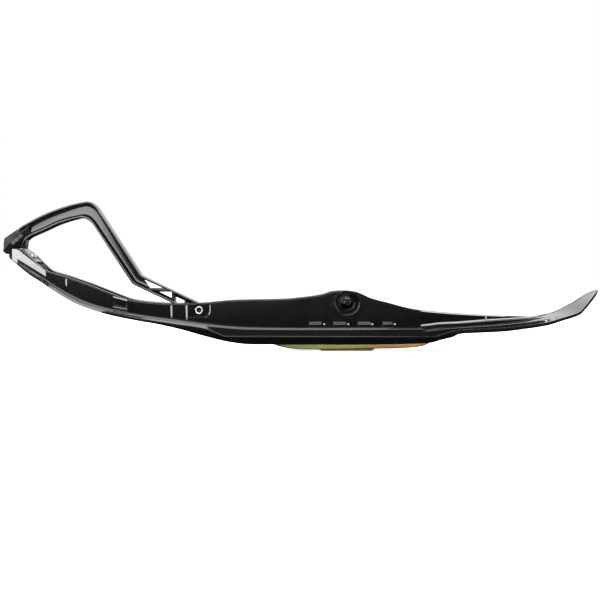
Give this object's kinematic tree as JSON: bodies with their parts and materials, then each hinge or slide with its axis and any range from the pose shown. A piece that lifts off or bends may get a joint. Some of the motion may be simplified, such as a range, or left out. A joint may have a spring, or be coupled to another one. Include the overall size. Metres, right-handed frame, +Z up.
{
  "type": "snowmobile ski",
  "caption": "Moulded snowmobile ski with a hand loop over the tip, a pivot bolt across its spindle channel, and a steel wear bar with a carbide insert under the keel.",
  "frame": {"origin": "on the ground plane that the carbide insert touches, under the middle of the overall length and width", "axes": "-X forward to the tip, +X to the tail, -Y the ski's left side with the pivot bolt's head, +Z up"},
  "size_m": [1.11, 0.15, 0.2781],
  "materials": {
    "ski_plastic": "black moulded polyethylene with a dull gloss",
    "loop_plastic": "charcoal moulded nylon, lightly grained",
    "black_steel": "black zinc-plated steel",
    "zinc_steel": "bright zinc-plated steel",
    "gold_zinc_steel": "yellow zinc-plated steel, iridescent",
    "carbide": "ground tungsten carbide",
    "brass": "machined brass",
    "bushing_nylon": "black nylon",
    "rubber": "black rubber",
    "decal_film": "light grey printed film"
  },
  "bodies": {
    "ski": {"ski_body": "ski_plastic", "hand_loop": "loop_plastic", "pivot_bushing_left": "bushing_nylon", "pivot_bushing_right": "bushing_nylon", "loop_bolt": "zinc_steel", "loop_nut": "zinc_steel", "loop_bolt_washer": "black_steel", "loop_nut_washer": "black_steel", "loop_spacer": "zinc_steel", "loop_foot_screw_left": "zinc_steel", "loop_foot_screw_right": "zinc_steel", "screw_insert_left": "brass", "screw_insert_right": "brass", "wear_bar": "gold_zinc_steel", "carbide_insert": "carbide", "wear_bar_stud_front": "gold_zinc_steel", "wear_bar_stud_middle": "gold_zinc_steel", "wear_bar_stud_rear": "gold_zinc_steel", "stud_washer_front": "zinc_steel", "stud_washer_middle": "zinc_steel", "stud_washer_rear": "zinc_steel", "stud_nut_front": "zinc_steel", "stud_nut_middle": "zinc_steel", "stud_nut_rear": "zinc_steel", "spindle_damper": "rubber", "tip_decal_left": "decal_film", "tip_decal_right": "decal_film"},
    "pivot": {"pivot_bolt": "black_steel", "pivot_nut": "black_steel", "pivot_sleeve": "zinc_steel", "pivot_bolt_washer": "black_steel", "pivot_nut_washer": "black_steel"}
  },
  "joints": [
    {"name": "pivot_turn", "type": "hinge", "parent": "ski", "child": "pivot", "pos_m": [0.087, 0, 0.091], "axis": [0, 1, 0], "continuous": true}
  ]
}
